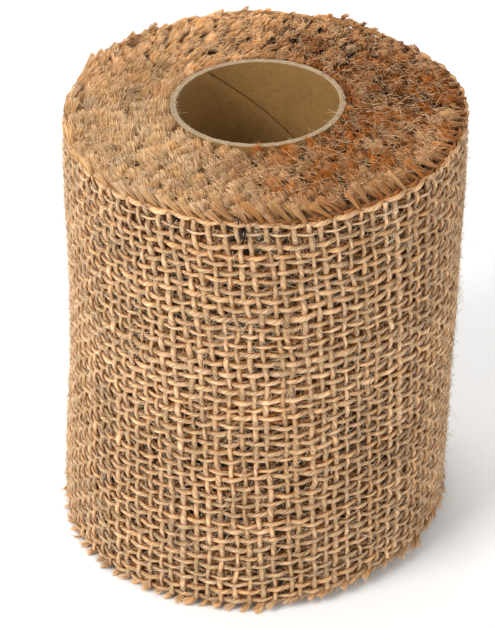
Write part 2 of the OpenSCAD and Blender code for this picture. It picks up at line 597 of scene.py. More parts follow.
def yarn_piece(name, path, half_width, sides):
    """Flattened yarns along one path, which gives their centre lines, widths and tints."""
    centre, width, tint = path
    return tubes(name, yarn_material, centre, outward(centre), YARN_OUT * width ** 0.5, half_width * width,
                 sides, tint, flank_shade=YARN_FLANK_SHADE)


def warp_piece(name, first, last, rows, per_step, sides):
    """Warps between two places, counted in wefts back from the free end."""
    steps = np.linspace(first, last, int(round((last - first) * per_step)) + 1)
    return yarn_piece(name, warp_path(rows, steps), WARP_HALF_W, sides)


def weft_piece(name, picks, per_row, sides):
    """Wefts by number, from just below the lowest warp to just above the highest."""
    rows = np.linspace(-0.3, WARPS - 0.8, int(round((WARPS - 0.5) * per_row)) + 1)
    return yarn_piece(name, weft_path(picks, rows), WEFT_HALF_W, sides)


# Places along the cloth, counted in wefts back from the free end
FRAYED_PLACE = -1.4
FOLD_FIRST = (FREE_END - LIFT_LINE - FOLD_AFTER) / WEFT_STEP - 0.5
FOLD_LAST = (FREE_END - LIFT_LINE + FOLD_BEFORE) / WEFT_STEP - 0.5
OUTER_LAST = TURN / WEFT_STEP - 0.5
ALL_ROWS = np.arange(WARPS)


def picks_between(first, last):
    """Numbers of the wefts that lie between two places."""
    return np.arange(math.ceil(first), math.ceil(last))


# ---------------------------------------------------------------- cut ends
LEFT_ANGLE = math.radians(200)
# Angle of the fringe's rust-brown side, whose colour is partly painted shade
RUST_AND_SHADE_ANGLE = math.radians(-4)


def strand_bundle(base, tuft_up, lean_to, length, strands, points, spread_r, flare, bend, thick, rng, tint,
                  loose=1.0):
    """Cut yarn ends: strands that leave each base together, bend over and flare apart.

    base, tuft_up and lean_to are (tufts, 3); length, bend and thick are (tufts,). loose is how much each
    strand goes its own way.
    Returns centre lines, their outward directions, half widths and tints for tubes().
    """
    tufts = len(base)
    t = np.linspace(0, 1, points)
    side = unit(np.cross(tuft_up, lean_to))
    start = np.sqrt(rng.uniform(0, 1, (tufts, strands)))
    around = rng.uniform(0, TURN, (tufts, strands))
    x = (start * np.cos(around))[..., None]
    y = (start * np.sin(around))[..., None]
    reach = length[:, None] * rng.uniform(1 - 0.22 * loose, 1.0, (tufts, strands))
    turn = bend[:, None] + rng.normal(0, 0.12, (tufts, strands)) * loose
    yaw = rng.normal(0, 0.12, (tufts, strands)) * loose
    curl = rng.normal(0, 0.30, (tufts, strands)) * loose
    pitch = turn[..., None] * t ** 0.8
    heading = yaw[..., None] + curl[..., None] * t * t
    step = (reach / (points - 1))[..., None]

    def along(v):
        run = np.cumsum(v * step, -1)
        return np.concatenate([np.zeros_like(run[..., :1]), run[..., :-1]], -1)

    up_run = along(np.cos(pitch) * np.cos(heading))
    lean_run = along(np.sin(pitch))
    side_run = along(np.cos(pitch) * np.sin(heading))
    spread_now = spread_r * (1 + flare * t ** 1.3)
    lean_run = lean_run + 0.75 * x * spread_now
    side_run = side_run + 1.3 * y * spread_now
    centre = (
        base[:, None, None]
        + tuft_up[:, None, None] * up_run[..., None]
        + lean_to[:, None, None] * lean_run[..., None]
        + side[:, None, None] * side_run[..., None]
    )
    out = np.broadcast_to(side[:, None, None], centre.shape)
    taper = 1 - 0.35 * t ** 2
    half = thick[:, None, None] * rng.uniform(0.7, 1.25, (tufts, strands, 1)) * taper
    # Painted shade: strands are painted darker and more saturated at their bases, down among the other
    # strands, and brighter at their tips; each strand also gets its own random tone
    shade = rng.normal(1, 0.19, (tufts, strands, 1, 1)) * (0.46 + 0.66 * t[:, None] ** 0.75)
    colour = tint[:, None, None] * np.clip(shade, 0.3, 1.35) ** np.array([0.85, 1.15, 1.5])
    flat = (tufts * strands, points)
    return centre.reshape(*flat, 3), out.reshape(*flat, 3), half.reshape(flat), colour.reshape(*flat, 3)


def tuft_piece(name, bundles, sides=3):
    """One mesh of the strands of several sets of tufts."""
    centre, out, half, colour = (np.concatenate(part) for part in zip(*bundles))
    return tubes(name, tuft_material, centre, out, half, half, sides, colour, twist=0.3)


fringe_turn = wobble(41, 6, 30, 2)
fringe_lean = wobble_2d(42, 7, 60 * MM, 9 * MM)
fringe_length = wobble_2d(43, 7, 50 * MM, 7 * MM)
fringe_rust = wobble_2d(44, 6, 60 * MM, 8 * MM)


def around_unit(u):
    """Unit vectors out from the axis, and clockwise round it as seen from above."""
    zero = np.zeros_like(u)
    out = np.stack([np.cos(u), np.sin(u), zero], -1)
    clockwise = np.stack([np.sin(u), -np.cos(u), zero], -1)
    return out, clockwise


def rust_and_shade_share(u, r):
    """How much of the rust-brown colour the fringe gets: fully at the right, a little close to the core,
    not at the left. The rust-brown is partly the jute's own colour and partly painted shade of the
    right-hand side; close to the core it is painted shade.
    """
    right = np.clip(0.46 + 0.58 * np.cos(u - RUST_AND_SHADE_ANGLE), 0, 1) ** 1.3
    near_core = np.exp(-(r - CORE_R) / (4 * MM))
    far_out = np.clip((r - 36 * MM) / (10 * MM), 0, 1)
    edge = far_out * (0.15 + 0.65 * np.clip(np.sin(u), 0, 1))
    left = bulge(u, LEFT_ANGLE, math.radians(50))
    # The part close to the core is painted shade
    return right * (1 - edge) + 0.45 * near_core * (1 - left)


def fringe_tint(u, base, seed):
    """Tints of tufts: golden at the front and left, rust-brown on the right-hand side, which is partly
    their own colour and partly painted shade.
    """
    rng = np.random.default_rng(seed)
    gold = np.clip(rng.normal(0.55, 0.16, (len(u), 1)), 0, 1)
    tint = (JUTE_GOLD * gold + JUTE_PALE * (1 - gold)) * np.clip(rng.normal(1, 0.11, (len(u), 1)), 0.6, 1.3)
    # Painted light: tufts at the back are painted brighter and those at the front darker, by up to 16
    # percent
    tint = tint * (1 + 0.16 * np.sin(u))[:, None]
    right = rust_and_shade_share(u, np.hypot(base[:, 0], base[:, 1]))
    uneven = 0.22 * fringe_rust(base[:, 0], base[:, 1]) + rng.normal(0, 0.12, len(u))
    # Rust-brown, partly painted shade, mixed in by the share above
    rust_and_shade = np.clip(right * 0.95 + uneven * (0.25 + right), 0, 1)
    return tint * (1 - rust_and_shade[:, None]) + JUTE_RUST_AND_SHADE * rng.uniform(0.7, 1.3, (len(u), 1)) * rust_and_shade[:, None]


def fringe_way(u, base, upright, rng):
    """Directions in which top tufts point: a clockwise swirl, inwards except at the left."""
    out, clockwise = around_unit(u)
    x, y = base[:, 0], base[:, 1]
    left = bulge(u, LEFT_ANGLE, math.radians(48))
    swirl = 0.52 + 0.45 * left + 0.20 * fringe_lean(x, y) + rng.normal(0, 0.14, len(u))
    right = np.clip(np.cos(u - RUST_AND_SHADE_ANGLE), 0, 1)
    inward = 0.60 - 0.48 * left + 0.15 * right + 0.20 * fringe_lean(y, x) + rng.normal(0, 0.14, len(u))
    inward = np.maximum(inward, 0.12) * np.clip((np.hypot(x, y) - CORE_R) / (5 * MM), 0, 1)
    rise = upright - 0.12 * left + 0.10 * right + rng.normal(0, 0.08, len(u))
    flat = clockwise * swirl[:, None] - out * inward[:, None]
    return unit(flat + UP * np.clip(rise, 0.15, 1)[:, None])


def droop(way):
    """Directions square to way that point down."""
    return unit(way * way[:, 2:] - UP)


def edge_tufts(u, base, strands, points, seed, length):
    """Tufts at the top edge of the woven turns: straight brushes of fibres, narrow at the cloth."""
    rng = np.random.default_rng(seed)
    count = len(u)
    back = np.clip(1.4 * np.sin(u) + 0.35 * np.cos(u) + 0.15, 0, 1)
    way = fringe_way(u, base, 0.50 + 0.20 * back, rng)
    uneven = 0.5 * fringe_length(base[:, 0], base[:, 1]) + rng.normal(0, 0.4, count)
    reach = (length - 3.0 * back + uneven) * MM
    bend = np.clip(rng.normal(0.30, 0.10, count), 0.05, 0.6)
    thick = np.full(count, 0.078 * MM)
    return strand_bundle(base, way, droop(way), reach, strands, points, 0.34 * MM, 1.1, bend, thick, rng,
                         fringe_tint(u, base, seed + 1), loose=0.45)


# Clumps that the tufts of the inner turns gather into
clump_rng = np.random.default_rng(55)
CLUMPS = 900
clump_r = np.sqrt(clump_rng.uniform((CORE_R + 0.5 * MM) ** 2, turn_radius(FREE_END - TURN) ** 2, CLUMPS))
clump_u = clump_rng.uniform(0, TURN, CLUMPS)
clump_z = BAND_HIGH + 2.0 * MM * np.exp(-(clump_r - CORE_R) / (5 * MM))
clump_r = sheared(clump_r, clump_u, BAND_HIGH)
clump_base = polar(clump_r, clump_u, clump_z)
INNER_UPRIGHT = 0.72
clump_way = fringe_way(clump_u, clump_base, INNER_UPRIGHT, clump_rng)
clump_tip = clump_base + clump_way * clump_rng.uniform(2.8, 4.3, (CLUMPS, 1)) * MM
clump_tint = fringe_tint(clump_u, clump_base, 56)


def inner_tufts(u, base, strands, points, seed):
    """Tufts of the inner turns, gathered by neighbours into clumps that lean together."""
    rng = np.random.default_rng(seed)
    count = len(u)
    gap = np.linalg.norm(base[:, None, :2] - clump_base[None, :, :2], axis=-1)
    nearest = gap.argmin(1)
    own_tip = base + fringe_way(u, base, INNER_UPRIGHT, rng) * rng.uniform(2.8, 4.2, (count, 1)) * MM
    together = (0.50 + 0.25 * np.clip(rust_and_shade_share(u, np.hypot(base[:, 0], base[:, 1])), 0, 1))[:, None]
    tip = (1 - together) * own_tip + together * clump_tip[nearest]
    way = unit(tip - base)
    reach = np.clip(np.linalg.norm(tip - base, axis=-1), 2.4 * MM, 4.6 * MM)
    bend = rng.normal(0.1, 0.12, count)
    thick = np.full(count, 0.070 * MM)
    tint = clump_tint[nearest] * rng.uniform(0.88, 1.1, (count, 1))
    return strand_bundle(base, way, droop(way), reach, strands, points, 0.50 * MM, 1.2, bend, thick, rng,
                         tint, loose=1.3)


def bottom_tufts(u, base, strands, points, seed, edge):
    """Tufts at the bottom: straight brushes that point down and clockwise, splayed out on the left."""
    rng = np.random.default_rng(seed)
    out, clockwise = around_unit(u)
    count = len(u)
    splay = (0.05 - 0.08 * np.cos(u)) * edge + rng.normal(0, 0.15, count)
    down = rng.uniform(0.7, 1.1, (count, 1))
    swept = clockwise * rng.normal(0.85, 0.2, (count, 1))
    way = unit(swept + out * splay[:, None] - UP * down)
    level = unit(UP + way * np.abs(way[:, 2:]))
    length = np.clip(rng.normal(3.2, 0.5, count), 2.0, 4.6) * MM
    bend = np.clip(rng.normal(0.35, 0.15, count), 0.0, 0.8)
    thick = np.full(count, 0.095 * MM)
    gold = rng.uniform(0.2, 0.8, (count, 1))
    tint = (JUTE_GOLD * gold + JUTE_PALE * (1 - gold)) * rng.uniform(0.93, 1.22, (count, 1))
    bundle = strand_bundle(base, way, level, length, strands, points, 0.50 * MM, 1.1, bend, thick, rng,
                           tint, loose=0.8)
    bundle[0][..., 2] = np.maximum(bundle[0][..., 2], FLOOR_CLEAR)
    return bundle


def woven_ends(picks, row):
    """Where the yarns picks leave the cloth, at a place counted in warp rows, and their angles."""
    centre, _, _ = weft_path(picks, np.array([row]))
    points = centre[:, 0]
    return np.arctan2(points[:, 1], points[:, 0]), points


def inner_ends(z):
    """Angles and places of the cut ends of all inner turns."""
    u = [0.05]
    while u[-1] < FREE_END - TURN:
        u.append(u[-1] + WEFT_SPACING / turn_radius(u[-1]))
    u = np.array(u)
    rng = np.random.default_rng(51)
    u = u + rng.normal(0, 0.25, len(u)) * WEFT_SPACING / turn_radius(u)
    r = turn_radius(u) + 0.55 * MM + rng.normal(0, 0.12 * MM, len(u))
    near_core = np.exp(-(r - CORE_R) / (5 * MM))
    height = z + 0.45 * MM * fringe_turn(u / TURN) + 2.2 * MM * near_core * (z > BAND_LOW)
    return u, polar(sheared(r, u, z), u, height)


# ---------------------------------------------------------------- build: woven yarns
outer_wefts = picks_between(FOLD_LAST, OUTER_LAST)
flap_wefts = picks_between(0, FOLD_FIRST)
fold_wefts = picks_between(FOLD_FIRST, FOLD_LAST)
under_wefts = picks_between(OUTER_LAST, WEFTS)

# Points along a yarn from one crossing to the next, and sides of its tube
YARN_GRAIN = (6, 8)
UNDER_GRAIN = (4, 6)
FOLD_GRAIN = (12, 8)

low_rows, high_rows = ALL_ROWS[: WARPS // 2], ALL_ROWS[WARPS // 2:]
half = len(outer_wefts) // 2
roll_pieces = [
    warp_piece("outer_warp_yarns_low", FOLD_LAST, OUTER_LAST, low_rows, *YARN_GRAIN),
    warp_piece("outer_warp_yarns_high", FOLD_LAST, OUTER_LAST, high_rows, *YARN_GRAIN),
    weft_piece("outer_weft_yarns_right", outer_wefts[:half], *YARN_GRAIN),
    weft_piece("outer_weft_yarns_left", outer_wefts[half:], *YARN_GRAIN),
    warp_piece("under_warp_yarns", OUTER_LAST, WEFTS - 0.5, ALL_ROWS, *UNDER_GRAIN),
    weft_piece("under_weft_yarns", under_wefts, *UNDER_GRAIN),
]

# ---------------------------------------------------------------- build: fringes
TOP_ROW = WARPS - 0.95
BOTTOM_ROW = -0.2
# Strands in a tuft, and points along each strand
TOP_STRANDS = (48, 6)
BOTTOM_STRANDS = (36, 5)


def top_piece(name, picks, strands, points, seed, length):
    """Top tufts of some woven wefts, of about a length in millimetres."""
    u, base = woven_ends(picks, TOP_ROW)
    return tuft_piece(name, [edge_tufts(u, base, strands, points, seed, length)])


def bottom_piece(name, picks, strands, points, seed):
    """Bottom tufts of some woven wefts."""
    u, base = woven_ends(picks, BOTTOM_ROW)
    return tuft_piece(name, [bottom_tufts(u, base, strands, points, seed, 1.0)])


outer_top = top_piece("outer_top_tufts", outer_wefts, *TOP_STRANDS, 61, 6.6)
under_top = top_piece("under_top_tufts", under_wefts, 34, 5, 62, 5.2)
outer_bottom = bottom_piece("outer_bottom_tufts", outer_wefts, *BOTTOM_STRANDS, 63)
under_bottom = bottom_piece("under_bottom_tufts", under_wefts, 18, 4, 64)

inner_u, inner_base = inner_ends(BAND_HIGH - 0.4 * MM)
parts = np.array_split(np.arange(len(inner_u)), 5)
inner_top = []
for number, part in enumerate(parts):
    bundle = inner_tufts(inner_u[part], inner_base[part], 27, 4, 71 + 2 * number)
    inner_top.append(tuft_piece(f"inner_top_tufts_{number + 1}", [bundle]))
foot_u, foot_base = inner_ends(BAND_LOW - 0.6 * MM)
inner_bottom = tuft_piece("inner_bottom_tufts", [bottom_tufts(foot_u, foot_base, 6, 4, 81, 0.0)])
roll_pieces += [outer_top, under_top, outer_bottom, under_bottom, inner_bottom, *inner_top]


# ---------------------------------------------------------------- build: inner turns and fringe beds
# How far the inner ribbon reaches past its outermost warps
SELVAGE = 0.3 * MM


def inner_turns():
    """The ribbon of the inner turns: one continuous spiral sheet, from the core to the woven turns."""
    count = int(WOVEN_START / TURN * 96)
    u = np.linspace(0.02, WOVEN_START, count)
    rows = np.linspace(BAND_LOW - SELVAGE, BAND_HIGH + SELVAGE, 5)
    grid_u, grid_z = np.meshgrid(u, rows, indexing="ij")
    r = sheared(turn_radius(grid_u) + 0.5 * MM, grid_u, grid_z)
    ripple = 0.10 * MM * np.sin(grid_u * 47)
    points = polar(r + ripple, grid_u, grid_z).reshape(-1, 3)
    index = np.arange(len(points)).reshape(grid_u.shape)
    quads = np.stack([index[:-1, :-1], index[1:, :-1], index[1:, 1:], index[:-1, 1:]], -1).reshape(-1, 4)
    # Painted shade: the inner turns are painted far darker than the yarns, for the shade deep in the roll
    tint = np.broadcast_to(JUTE_TAN * 0.3, points.shape)
    along = grid_u * turn_radius(grid_u) / MM
    fibre = np.stack([along, grid_z / MM, 0 * along], -1).reshape(-1, 3)
    return new_mesh("inner_turns_ribbon", sheet_material(), points, [quads], tint, fibre)


def fringe_bed(name, z, up, height_wave):
    """The matted yarn ends between the tufts: a low rough ring, closed below."""
    angles = np.linspace(0, TURN, 361)[:-1]
    share, grid_a = np.meshgrid(np.linspace(0, 1, 70), angles, indexing="ij")
    outermost = FREE_END - (FREE_END - grid_a) % TURN
    first = RIBBON_START_R + 0.1 * MM
    grid_r = first + (turn_radius(outermost) - 0.3 * MM - first) * share
    grid_r = sheared(grid_r, grid_a, z)
    x, y = grid_r * np.cos(grid_a), grid_r * np.sin(grid_a)
    bump = height_wave(x, y) * 0.25 * MM
    top = np.stack([x, y, z + up * (0.9 * MM + bump)], -1)
    low = np.stack([x, y, np.full_like(x, z - up * 0.4 * MM)], -1)
    points = np.concatenate([top.reshape(-1, 3), low.reshape(-1, 3)])
    index = np.arange(top.size // 3).reshape(grid_r.shape)
    nxt = np.roll(index, -1, 1)
    quads = ring_quads(index)
    shift = index.size
    under = quads[:, ::-1] + shift
    rims = []
    for row, flip in ((0, False), (-1, True)):
        rim = np.stack([index[row], nxt[row], nxt[row] + shift, index[row] + shift], -1)
        rims.append(rim[:, ::-1] if flip else rim)
    faces = [np.concatenate([quads, under, *rims])]
    radius = np.hypot(points[:, 0], points[:, 1])
    rust_and_shade = np.clip(rust_and_shade_share(np.arctan2(points[:, 1], points[:, 0]), radius), 0, 1)
    rim = np.clip((radius - 42 * MM) / (3 * MM), 0, 1)
    # Painted shade: the bed is painted far darker than the tufts, for the shade between them, and darker
    # still towards the outer rim
    bed_shade = (0.40 - 0.15 * rim)[:, None]
    tint = bed_shade * (JUTE_TAN * (1 - rust_and_shade[:, None]) + JUTE_RUST_AND_SHADE * rust_and_shade[:, None])
    return new_mesh(name, tuft_material, points, faces, tint, points / MM * 0.9)


bed_wave = wobble_2d(91, 10, 12 * MM, 1.2 * MM)
inner_ribbon = inner_turns()
top_bed = fringe_bed("top_fringe_bed", BAND_HIGH - 1.2 * MM, 1, bed_wave)
bottom_bed = fringe_bed("bottom_fringe_bed", BAND_LOW - 0.3 * MM, -1, bed_wave)
roll_pieces += [inner_ribbon, top_bed, bottom_bed]

# ---------------------------------------------------------------- build: stray fibres
def stray_fibres(name, base, out, along, length, points, rng, thick=0.028 * MM, rise=0.25, curl=1.3,
                 first=None, gold=0.0):
    """Fine loose fibres: each leaves its base mostly along the cloth and curls away from it.

    first is the heading at the base, measured from along; it is random when left out. gold is the share of
    the fringe's own colour.
    """
    count = len(base)
    t = np.linspace(0, 1, points)
    across = np.cross(out, along)
    if first is None:
        first = rng.uniform(0, TURN, count)
    heading = first[:, None] + rng.normal(0, curl, (count, 1)) * t
    steep = rise * rng.uniform(0.1, 2.0, (count, 1)) * (1 + rng.normal(0, 0.9, (count, 1)) * t)
    step = (length / (points - 1))[:, None, None]
    run = (
        along[:, None] * (np.cos(heading) * np.cos(steep))[..., None]
        + across[:, None] * (np.sin(heading) * np.cos(steep))[..., None]
        + out[:, None] * np.sin(steep)[..., None]
    )
    path = np.cumsum(run * step, 1)
    path = np.concatenate([np.zeros_like(path[:, :1]), path[:, :-1]], 1)
    centre = base[:, None] + path
    centre[..., 2] = np.maximum(centre[..., 2], FLOOR_CLEAR)
    half = thick * rng.uniform(0.6, 1.3, (count, 1)) * (1 - 0.5 * t)
    shade = rng.uniform(0.8, 1.25, (count, 1, 1))
    pale = rng.uniform(0, 1, (count, 1, 1))
    tint = (FIBRE_PALE * pale + JUTE_GREY * (1 - pale)) * (1 - gold) + JUTE_GOLD * gold
    tint = tint * shade
    far = np.broadcast_to(out[:, None], centre.shape)
    return tubes(name, hair_material, centre, far, half, half, 3, tint, twist=0.1)


def fibre_roots(rng, first, last, count, deep, shallow):
    """Angles and places over the cloth, between two places along it and two depths in it, in mm."""
    u = FREE_END - (rng.uniform(first, last, count) + 0.5) * WEFT_STEP
    z = rng.uniform(BAND_LOW, BAND_HIGH, count)
    return u, cloth_point(u, z, rng.uniform(deep, shallow, count) * MM)


def cloth_fuzz(name, first, last, count, seed):
    """Fuzz on the outside of the cloth, between two places counted in wefts back from the free end."""
    rng = np.random.default_rng(seed)
    u, base = fibre_roots(rng, first, last, count, 0.9, 1.5)
    out, clockwise = around_unit(u)
    length = np.exp(rng.normal(0.75, 0.55, count)) * MM
    return stray_fibres(name, base, out, clockwise, np.clip(length, 0.8 * MM, 11 * MM), 6, rng,
                        thick=0.050 * MM, rise=0.28, curl=2.2, gold=0.05)


def hole_fibres(name, first, last, count, seed):
    """Loose fibres that cross the holes of the cloth, just behind its yarns."""
    rng = np.random.default_rng(seed)
    u, base = fibre_roots(rng, first, last, count, 0.35, 0.95)
    out, clockwise = around_unit(u)
    length = np.clip(rng.normal(2.6, 0.9, count), 1.2, 5) * MM
    return stray_fibres(name, base, out, clockwise, length, 5, rng, thick=0.050 * MM, rise=0.05, curl=2.0,
                        gold=0.5)


def yarn_nap(name, first, last, count, seed):
    """Short fibres that stand off the yarns themselves, mostly along them."""
    rng = np.random.default_rng(seed)
    half = count // 2
    j = rng.integers(math.ceil(first), math.floor(last), half)
    on_weft, weft_thick, _ = weft_path(j, rng.uniform(0, WARPS - 1, (half, 1)))
    i = rng.integers(0, WARPS, count - half)
    on_warp, warp_thick, _ = warp_path(i, rng.uniform(first, last, (count - half, 1)))
    base = np.concatenate([on_weft[:, 0], on_warp[:, 0]])
    out, clockwise = around_unit(np.arctan2(base[:, 1], base[:, 0]))
    up = np.broadcast_to(UP, base.shape)
    side = rng.uniform(-0.85, 0.85, (count, 1))
    weft_side = clockwise[:half] * side[:half] * WEFT_HALF_W * weft_thick
    warp_side = up[half:] * side[half:] * WARP_HALF_W * warp_thick
    base = base + np.concatenate([weft_side, warp_side])
    base = base + out * np.sqrt(1 - side ** 2) * YARN_OUT * 0.9
    first_heading = rng.normal(0, 0.45, count) + math.pi * rng.integers(0, 2, count)
    first_heading[:half] += math.pi / 2
    length = np.clip(np.exp(rng.normal(0.25, 0.4, count)), 0.6, 3.5) * MM
    return stray_fibres(name, base, out, clockwise, length, 4, rng, thick=0.052 * MM, rise=0.28, curl=0.9,
                        first=first_heading)


def gathered(rng, count, share, middle, width):
    """Angles round the roll: a share of them gathered about one angle, the rest anywhere."""
    near = rng.uniform(size=count) < share
    return np.where(near, rng.normal(middle, width, count), rng.uniform(0, TURN, count))


def top_fuzz(name, count, seed):
    """Curly loose fibres over the top fringe, closest together at the right."""
    rng = np.random.default_rng(seed)
    angle = gathered(rng, count, 0.45, -0.3, 0.7)
    r = rng.uniform(CORE_R + 0.3 * MM, turn_radius(WOVEN_START), count)
    z = rng.uniform(BAND_HIGH + 0.6 * MM, BAND_HIGH + 2.8 * MM, count)
    r = sheared(r, angle, z)
    base = polar(r, angle, z)
    up = np.broadcast_to(UP, base.shape)
    _, clockwise = around_unit(angle)
    length = np.clip(np.exp(rng.normal(1.1, 0.4, count)), 1.2, 7) * MM
    return stray_fibres(name, base, up, clockwise, length, 9, rng, thick=0.040 * MM, rise=0.2, curl=3.5,
                        gold=0.45)


MIDDLE = (FOLD_LAST + OUTER_LAST) / 2
roll_pieces += [
    cloth_fuzz("outer_stray_fibres_right", FOLD_LAST, MIDDLE, 4500, 102),
    cloth_fuzz("outer_stray_fibres_left", MIDDLE, OUTER_LAST, 4500, 106),
    hole_fibres("outer_hole_fibres_right", FOLD_LAST, MIDDLE, 7000, 107),
    hole_fibres("outer_hole_fibres_left", MIDDLE, OUTER_LAST, 7000, 108),
    yarn_nap("outer_yarn_nap_right", FOLD_LAST, MIDDLE, 8000, 109),
    yarn_nap("outer_yarn_nap_left", MIDDLE, OUTER_LAST, 8000, 110),
    cloth_fuzz("under_stray_fibres", OUTER_LAST, OUTER_LAST + 16, 900, 103),
    top_fuzz("top_stray_fibres", 3000, 104),
]


def dark_knot():
    """A few dark foreign fibres caught round the top warps, at the front."""
    rng = np.random.default_rng(111)
    angle = np.radians([-95.9, -95.6, -95.5, -95.1, -94.8, -94.2, -93.9, -94.6])
    top = np.array([2.2, 1.6, -1.3, -1.5, -1.2, -1.6, -1.3, -3.3]) * MM
    drop = np.array([-1.6, -1.9, -1.9, -2.3, -1.6, -2.2, -1.5, -0.4]) * MM
    sway = np.array([0.6, -0.4, 0.5, -0.3, 0.6, 0.3, -0.5, 1.4]) * MM
    t = np.linspace(0, 1, 7)
    r = turn_radius(FREE_END - 0.4 * TURN) + 2.0 * MM + slump(angle, BAND_HIGH)
    u = angle[:, None] + sway[:, None] * (t - 0.5 + 0.2 * np.sin(5 * t)) / r[:, None]
    z = BAND_HIGH + top[:, None] + drop[:, None] * t
    bow = r[:, None] + 0.15 * MM * np.sin(math.pi * t)
    centre = polar(bow, u, z)
    half = 0.15 * MM * rng.uniform(0.7, 1.3, (len(angle), 1)) * (1 - 0.4 * (2 * t - 1) ** 2)
    tint = np.ones((len(angle), 1, 3))
    return tubes("dark_fibre_knot", dark_fibre_material(), centre, outward(centre), half, half, 5, tint)


roll_pieces.append(dark_knot())

# ---------------------------------------------------------------- build: cardboard core
SEAM_LEAD = 112 * MM
SEAM_TOP = math.radians(129)
SEAM_HALF = 0.15 * MM
SEAM_DEPTH = 0.30 * MM
SEAM_DARK = 0.25
FOOT_ROUND = 0.15 * MM
SEAM_MARGIN = 0.6 * MM
rim_wave = many_wobbles(121, 3, 14, 1.2, 0.03)


def ply(name, index, material):
    """One spiral-wound paper ply: its wall shows the helical seam where the strip's edges meet."""
    inner = BORE_R + index * PLY_T
    outer = inner + PLY_T
    seam_top = SEAM_TOP - index * 2.1
    angle = seam_top - np.linspace(0, TURN, 289)
    seam = CORE_TOP - (seam_top - angle) * SEAM_LEAD / TURN
    share = np.linspace(0, 1, 41)
    lip = 0.18 * MM
    low_edge = np.clip(seam - SEAM_HALF, SEAM_MARGIN, CORE_TOP - SEAM_MARGIN)
    high_edge = np.clip(seam + SEAM_HALF, SEAM_MARGIN, CORE_TOP - SEAM_MARGIN)
    nib = rim_wave(np.broadcast_to(np.cos(angle) * 3 + np.sin(angle), (3, len(angle))))[index] * 0.10 * MM
    top = CORE_TOP - 0.03 * MM + 0.4 * nib

    z_low = low_edge[:, None] * share + FOOT_ROUND * (1 - share)
    z_high = high_edge[:, None] * (1 - share) + (top[:, None] - lip) * share
    r_low = np.full_like(z_low, inner)
    r_high = np.full_like(z_high, inner)
    r_low[:, -1] += 0.04 * MM
    r_high[:, 0] += 0.04 * MM
    groove_z = np.stack([low_edge, high_edge], 1)
    groove_r = np.full_like(groove_z, inner + SEAM_DEPTH)
    rim_z = np.stack([top - 0.05 * MM, top, top, top - 0.02 * MM], 1)
    rim_r = np.stack([inner + 0.02 * MM + 0 * top, inner + 0.08 * MM + 0 * top,
                      outer - 0.04 * MM + 0 * top, outer - 0.01 * MM + 0 * top], 1)
    back_z = np.stack([top - lip, FOOT_ROUND + 0 * top], 1)
    back_r = np.full_like(back_z, outer - 0.01 * MM)
    foot_z = np.zeros((len(angle), 2))
    foot_r = np.broadcast_to(np.array([outer - 0.12 * MM, inner + 0.12 * MM]), foot_z.shape)
    z = np.concatenate([z_low, groove_z, z_high, rim_z, back_z, foot_z], 1)
    r = np.concatenate([r_low, groove_r, r_high, rim_r, back_r, foot_r], 1)

    points = polar(r, np.broadcast_to(angle[:, None], z.shape), z).reshape(-1, 3)
    quads = ring_quads(np.arange(len(points)).reshape(z.shape))
    tint = np.tile(KRAFT, (*z.shape, 1))
    groove = z_low.shape[1]
    groove_end = groove + groove_z.shape[1]
    rim = groove_end + z_high.shape[1]
    tint[:, groove:groove_end] = KRAFT * SEAM_DARK
    tint[:, rim:rim + rim_z.shape[1]] = CUT_BOARD
    return new_mesh(name, material, points, [quads], tint.reshape(-1, 3))


inner_ply = ply("inner_ply", 0, kraft_material)
middle_ply = ply("middle_ply", 1, pulp_material)
outer_ply = ply("outer_ply", 2, kraft_material)


def rim_fibres():
    """Torn paper fibres along the core's rim, most of them at the left."""
    rng = np.random.default_rng(131)
    count = 300
    angle = gathered(rng, count, 0.6, math.pi, 0.35)
    r = rng.uniform(BORE_R + 0.1 * MM, CORE_R, count)
    base = polar(r, angle, np.full(count, CORE_TOP - 0.15 * MM))
    up = np.broadcast_to(UP, base.shape)
    _, clockwise = around_unit(angle)
    length = rng.uniform(0.4, 1.3, count) * MM
    return stray_fibres("core_rim_fibres", base, up, clockwise, length, 5, rng, thick=0.035 * MM, rise=0.3)


rim_fuzz = rim_fibres()

# ---------------------------------------------------------------- build: free end
flap_warps = warp_piece("free_end_warps", FRAYED_PLACE, FOLD_FIRST, ALL_ROWS, *YARN_GRAIN)
flap_yarns = weft_piece("free_end_wefts", flap_wefts, *YARN_GRAIN)
flap_top = top_piece("free_end_top_tufts", flap_wefts, *TOP_STRANDS, 65, 6.2)
flap_bottom = bottom_piece("free_end_bottom_tufts", flap_wefts, *BOTTOM_STRANDS, 66)
flap_fuzz = cloth_fuzz("free_end_stray_fibres", 0, FOLD_FIRST, 700, 105)


def frayed_warps():
    """The cut warp ends past the last weft, untwisted into loose strands."""
    rng = np.random.default_rng(141)
    centre, _, tint = warp_path(ALL_ROWS, np.array([FRAYED_PLACE, FRAYED_PLACE + 0.1]))
    base = centre[:, 0]
    run = unit(centre[:, 0] - centre[:, 1])
    out = outward(base)
    count = len(base)
    length = np.clip(rng.normal(3.4, 0.9, count), 1.6, 5.5) * MM
    bend = np.clip(rng.normal(0.35, 0.2, count), 0.05, 0.9)
    thick = np.full(count, 0.11 * MM)
    lean_to = unit(out + UP * rng.normal(0, 0.7, (count, 1)))
    bundle = strand_bundle(base, run, lean_to, length, 20, 6, 0.34 * MM, 1.0, bend, thick, rng, tint[:, 0])
    return tuft_piece("free_end_frayed_warps", [bundle])


flap_fray = frayed_warps()

fold_warps = warp_piece("fold_warps", FOLD_FIRST, FOLD_LAST, ALL_ROWS, *FOLD_GRAIN)
fold_yarns = weft_piece("fold_wefts", fold_wefts, *YARN_GRAIN)
fold_top = top_piece("fold_top_tufts", fold_wefts, *TOP_STRANDS, 67, 6.2)
fold_bottom = bottom_piece("fold_bottom_tufts", fold_wefts, *BOTTOM_STRANDS, 68)

